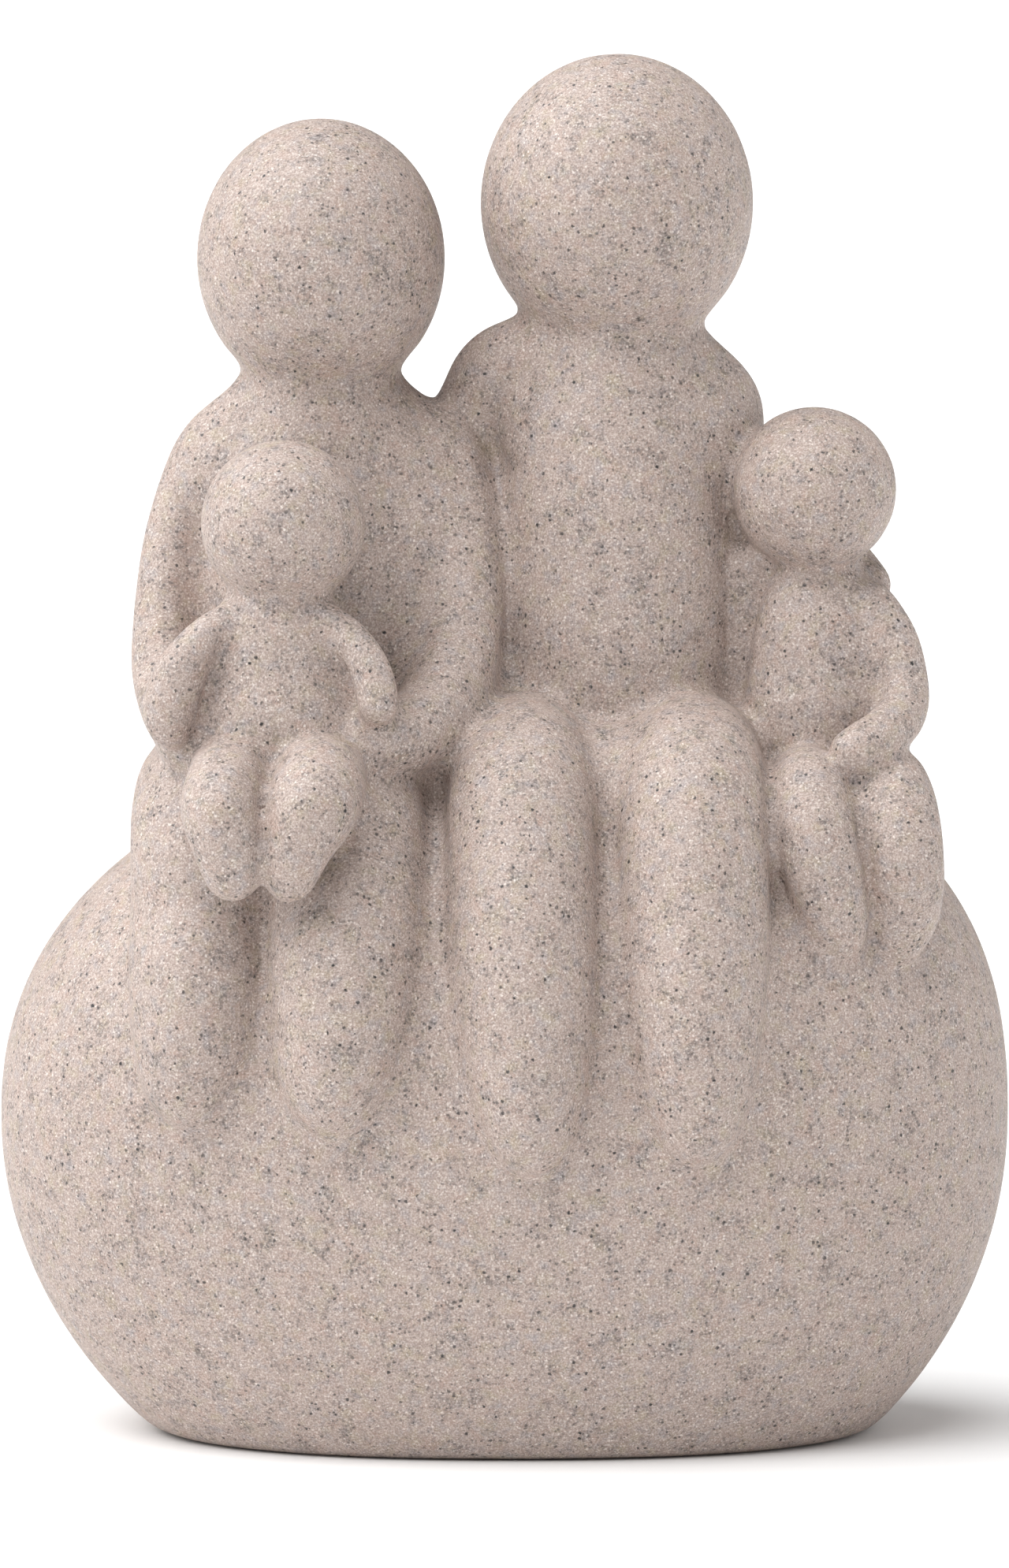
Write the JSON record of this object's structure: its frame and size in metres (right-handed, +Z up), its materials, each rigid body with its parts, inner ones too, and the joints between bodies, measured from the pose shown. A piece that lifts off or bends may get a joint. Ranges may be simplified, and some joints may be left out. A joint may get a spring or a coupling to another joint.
{
  "type": "family group sculpture",
  "caption": "Tabletop sculpture of a seated family of plain faceless figures on a rounded boulder, cast in one piece from sand and resin, standing on its flat underside.",
  "frame": {"origin": "centre of the bounding box's base, on the flat underside", "axes": "+Z up, the figures face -Y, +X is the viewer's right when facing them"},
  "size_m": [0.1463, 0.0936, 0.2],
  "materials": {
    "sandstone": "satin"
  },
  "bodies": {
    "root": {"family_group": "sandstone"}
  },
  "joints": []
}
